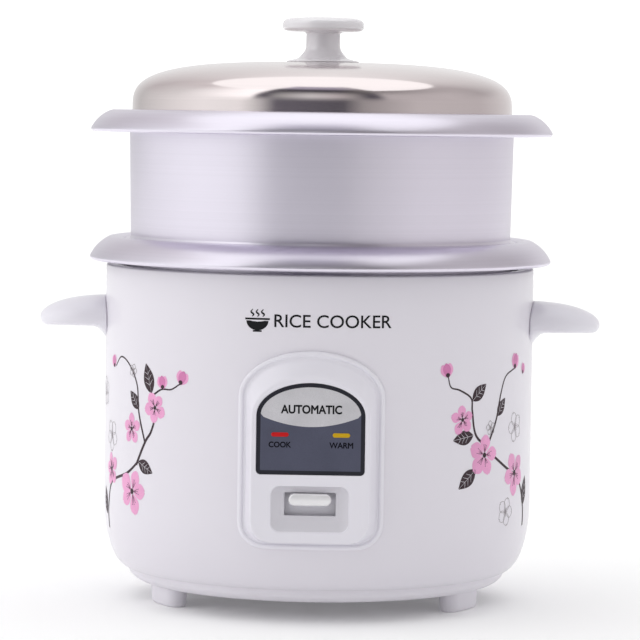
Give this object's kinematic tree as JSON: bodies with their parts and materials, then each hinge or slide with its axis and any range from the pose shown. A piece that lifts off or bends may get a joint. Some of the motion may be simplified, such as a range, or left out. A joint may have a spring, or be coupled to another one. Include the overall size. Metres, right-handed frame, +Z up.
{
  "type": "rice cooker",
  "caption": "Drum rice cooker with side handles, a lever-operated control panel, a lift-out pot, a second pan standing in it and a domed lid with a knob.",
  "frame": {"origin": "on the floor under the drum's axis, at the height of the feet's soles", "axes": "+Z up along the drum's axis, -Y towards the control panel, +X towards the handle on the panel's right as seen from the front"},
  "size_m": [0.336, 0.276, 0.3483],
  "materials": {
    "drum_enamel": "gloss",
    "liner_metal": "satin",
    "vessel_metal": "satin",
    "lid_steel": "polished",
    "white_plastic": "gloss",
    "pearl_plastic": "gloss",
    "fascia_print": "gloss",
    "red_lens": "gloss",
    "amber_lens": "gloss",
    "neon_glass": "gloss",
    "dark_plastic": "matte",
    "zinc_steel": "satin",
    "cast_plate": "satin",
    "brass_contact": "satin",
    "ceramic_white": "matte",
    "wire_sleeve": "matte",
    "magnet_black": "matte"
  },
  "bodies": {
    "housing": {"outer_shell": "drum_enamel", "inner_liner": "liner_metal", "base_cover": "white_plastic", "feet": "white_plastic", "base_screws": "zinc_steel", "foot_screws": "zinc_steel", "left_handle": "white_plastic", "right_handle": "white_plastic", "handle_screws": "zinc_steel", "control_panel": "white_plastic", "fascia_plate": "fascia_print", "cook_lamp_lens": "red_lens", "warm_lamp_lens": "amber_lens", "neon_lamps": "neon_glass", "panel_screws": "zinc_steel", "power_inlet": "dark_plastic", "inlet_pins": "brass_contact", "inlet_screws": "zinc_steel", "terminal_block": "ceramic_white", "wiring": "wire_sleeve", "heating_plate": "cast_plate", "heating_element": "zinc_steel", "terminal_bushes": "ceramic_white", "heater_spacers": "zinc_steel", "heater_screws": "zinc_steel", "thermal_fuse": "ceramic_white", "warm_thermostat": "dark_plastic", "sensor_base": "zinc_steel", "sensor_screws": "zinc_steel", "lever_bracket": "zinc_steel", "bracket_screws": "zinc_steel", "lever_pivot_pin": "zinc_steel", "microswitch": "dark_plastic", "switch_screws": "zinc_steel"},
    "cooking_pot": {"inner_pot": "vessel_metal"},
    "stacked_pan": {"second_pan": "vessel_metal"},
    "lid_assembly": {"lid": "lid_steel", "lid_knob": "pearl_plastic", "knob_screw": "zinc_steel", "knob_washer": "zinc_steel"},
    "sensor": {"sensor_cap": "liner_metal", "ferrite": "magnet_black", "sensor_spring": "zinc_steel"},
    "magnet_assembly": {"magnet": "magnet_black", "magnet_rod": "zinc_steel", "magnet_spring": "zinc_steel"},
    "cook_lever": {"lever_arm": "zinc_steel", "lever_knob": "pearl_plastic"},
    "leaf": {"switch_leaf": "brass_contact"}
  },
  "joints": [
    {"name": "pot_lift", "type": "slide", "parent": "housing", "child": "cooking_pot", "axis": [0, 0, 1], "range_m": [0, 0.16]},
    {"name": "pan_lift", "type": "slide", "parent": "cooking_pot", "child": "stacked_pan", "axis": [0, 0, 1], "range_m": [0, 0.12]},
    {"name": "lid_lift", "type": "slide", "parent": "stacked_pan", "child": "lid_assembly", "axis": [0, 0, 1], "range_m": [0, 0.06]},
    {"name": "sensor_press", "type": "slide", "parent": "housing", "child": "sensor", "axis": [0, 0, 1], "range_m": [-0.002, 0], "stiffness_N_per_m": 300, "springref_m": 0.003, "deforming": ["sensor_spring"]},
    {"name": "cook_lever_press", "type": "hinge", "parent": "housing", "child": "cook_lever", "pos_m": [0, -0.06, 0.052], "axis": [1, 0, 0], "range_deg": [0, 4.5]},
    {"name": "magnet_rise", "type": "slide", "parent": "housing", "child": "magnet_assembly", "axis": [0, 0, 1], "range_m": [0, 0.00475], "stiffness_N_per_m": 60, "springref_m": -0.004, "deforming": ["magnet_spring"]},
    {"name": "switch_leaf_swing", "type": "hinge", "parent": "housing", "child": "leaf", "pos_m": [0, -0.088, 0.046], "axis": [1, 0, 0], "range_deg": [0, 11]}
  ],
  "couplings": [
    {"joint": "magnet_rise", "follows": "cook_lever_press", "m_per_rad": 0.06},
    {"joint": "switch_leaf_swing", "follows": "cook_lever_press", "ratio": 2.4}
  ]
}
